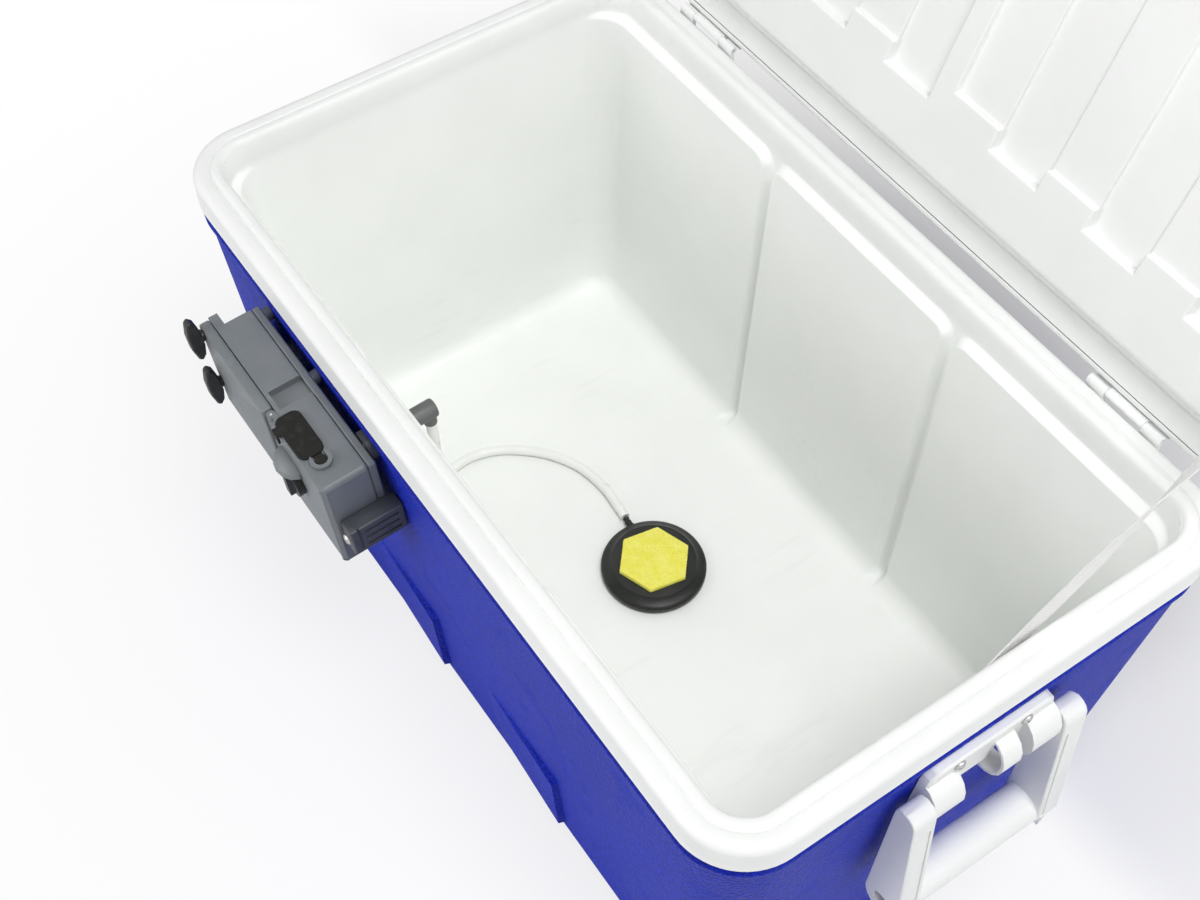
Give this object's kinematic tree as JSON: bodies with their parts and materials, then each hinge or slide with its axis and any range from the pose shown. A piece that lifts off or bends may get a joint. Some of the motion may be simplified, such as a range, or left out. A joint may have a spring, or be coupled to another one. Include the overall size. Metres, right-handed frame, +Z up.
{
  "type": "aerated bait cooler",
  "caption": "Hinged chest cooler with swing end handles, a drain, and a battery air pump on its front wall that feeds a round airstone on the floor through a tube.",
  "frame": {"origin": "on the flat underside, at the middle of the chest's length and width", "axes": "+X along the chest to its right end, +Y towards the hinged side, +Z up; the pump hangs on the wall that faces -Y"},
  "size_m": [0.7126, 0.623, 0.7227],
  "materials": {
    "white_plastic": "satin",
    "white_liner": "satin",
    "blue_plastic": "satin",
    "cream_foam": "matte",
    "grey_plastic": "satin",
    "dark_grey_plastic": "satin",
    "black_plastic": "satin",
    "black_rubber": "matte",
    "steel": "satin",
    "yellow_stone": "matte",
    "clear_tube": "gloss",
    "white_strap": "satin",
    "cell_wrap": "gloss"
  },
  "bodies": {
    "base": {"air_tube": "clear_tube", "airstone_base": "black_plastic", "battery_1": "cell_wrap", "battery_2": "cell_wrap", "battery_plate_contact": "steel", "battery_spring_contact": "steel", "bracket_screw_left_1": "steel", "bracket_screw_left_2": "steel", "bracket_screw_right_1": "steel", "bracket_screw_right_2": "steel", "bulkhead_fitting": "dark_grey_plastic", "clip_screw_left": "steel", "clip_screw_right": "steel", "diffuser": "yellow_stone", "door_hinge_pin": "steel", "drain_nut": "white_plastic", "drain_spout": "white_plastic", "elbow": "grey_plastic", "foam_core": "cream_foam", "handle_bracket_left": "white_plastic", "handle_bracket_right": "white_plastic", "hinge_body_leaf_left": "white_plastic", "hinge_body_leaf_right": "white_plastic", "hinge_body_screw_left_1": "steel", "hinge_body_screw_left_2": "steel", "hinge_body_screw_right_1": "steel", "hinge_body_screw_right_2": "steel", "hinge_pin_left": "steel", "hinge_pin_right": "steel", "inner_liner": "white_liner", "lid_strap": "white_strap", "motor": "steel", "outer_shell": "blue_plastic", "pump_back_cover": "grey_plastic", "pump_clip_left": "dark_grey_plastic", "pump_clip_right": "dark_grey_plastic", "pump_housing": "grey_plastic", "socket_cover_root": "black_rubber", "strap_screw_body": "steel", "valve_block": "dark_grey_plastic"},
    "lid": {"lid_shell": "white_plastic", "lid_foam": "cream_foam", "lid_liner": "white_liner", "hinge_lid_leaf_left": "white_plastic", "hinge_lid_leaf_right": "white_plastic", "hinge_lid_screw_left_1": "steel", "hinge_lid_screw_left_2": "steel", "hinge_lid_screw_right_1": "steel", "hinge_lid_screw_right_2": "steel", "strap_screw_lid": "steel"},
    "handle_right_body": {"handle_right": "white_plastic"},
    "handle_left_body": {"handle_left": "white_plastic"},
    "drain_cap_body": {"drain_cap": "white_plastic"},
    "battery_door_body": {"battery_door": "grey_plastic"},
    "door_knob_1_body": {"door_knob_1": "black_plastic"},
    "door_knob_2_body": {"door_knob_2": "black_plastic"},
    "switch_body": {"switch_knob": "black_plastic"},
    "socket_cover_body": {"socket_cover": "black_rubber"},
    "rotor": {"motor_eccentric": "steel"},
    "diaphragm_body": {"diaphragm": "black_rubber"}
  },
  "joints": [
    {"name": "lid_hinge", "type": "hinge", "parent": "base", "child": "lid", "pos_m": [0, 0.2004, 0.35075], "axis": [1, 0, 0], "range_deg": [0, 110], "deforming": ["lid_strap"]},
    {"name": "handle_right", "type": "hinge", "parent": "base", "child": "handle_right_body", "pos_m": [0.33732, 0, 0.27917], "axis": [0, -1, 0], "range_deg": [0, 120]},
    {"name": "handle_left", "type": "hinge", "parent": "base", "child": "handle_left_body", "pos_m": [-0.33732, 0, 0.27917], "axis": [0, 1, 0], "range_deg": [0, 120]},
    {"name": "drain_cap", "type": "hinge", "parent": "base", "child": "drain_cap_body", "pos_m": [0.30775, 0.112, 0.05], "axis": [0.9976, 0, -0.0698], "range_deg": [0, 540]},
    {"name": "battery_door", "type": "hinge", "parent": "base", "child": "battery_door_body", "pos_m": [-0.121, -0.23251, 0.25213], "axis": [0, -0.0698, 0.9976], "range_deg": [0, 100]},
    {"name": "door_knob_1", "type": "hinge", "parent": "battery_door_body", "child": "door_knob_1_body", "pos_m": [-0.2142, -0.19187, 0.29457], "axis": [0, -0.9976, -0.0698], "range_deg": [0, 720]},
    {"name": "door_knob_2", "type": "hinge", "parent": "battery_door_body", "child": "door_knob_2_body", "pos_m": [-0.2142, -0.1881, 0.24071], "axis": [0, -0.9976, -0.0698], "range_deg": [0, 720]},
    {"name": "switch_knob", "type": "hinge", "parent": "base", "child": "switch_body", "pos_m": [-0.094, -0.18939, 0.25916], "axis": [0, -0.9976, -0.0698], "range_deg": [0, 90]},
    {"name": "socket_cover", "type": "hinge", "parent": "base", "child": "socket_cover_body", "pos_m": [-0.0724, -0.19246, 0.30295], "axis": [0, 0.9976, 0.0698], "range_deg": [0, 90]},
    {"name": "motor_eccentric", "type": "hinge", "parent": "base", "child": "rotor", "pos_m": [-0.0815, -0.21059, 0.2254], "axis": [1, 0, 0], "continuous": true},
    {"name": "diaphragm", "type": "slide", "parent": "base", "child": "diaphragm_body", "axis": [0, -0.0698, 0.9976], "range_m": [-0.0015, 0.0015], "stiffness_N_per_m": 300}
  ]
}
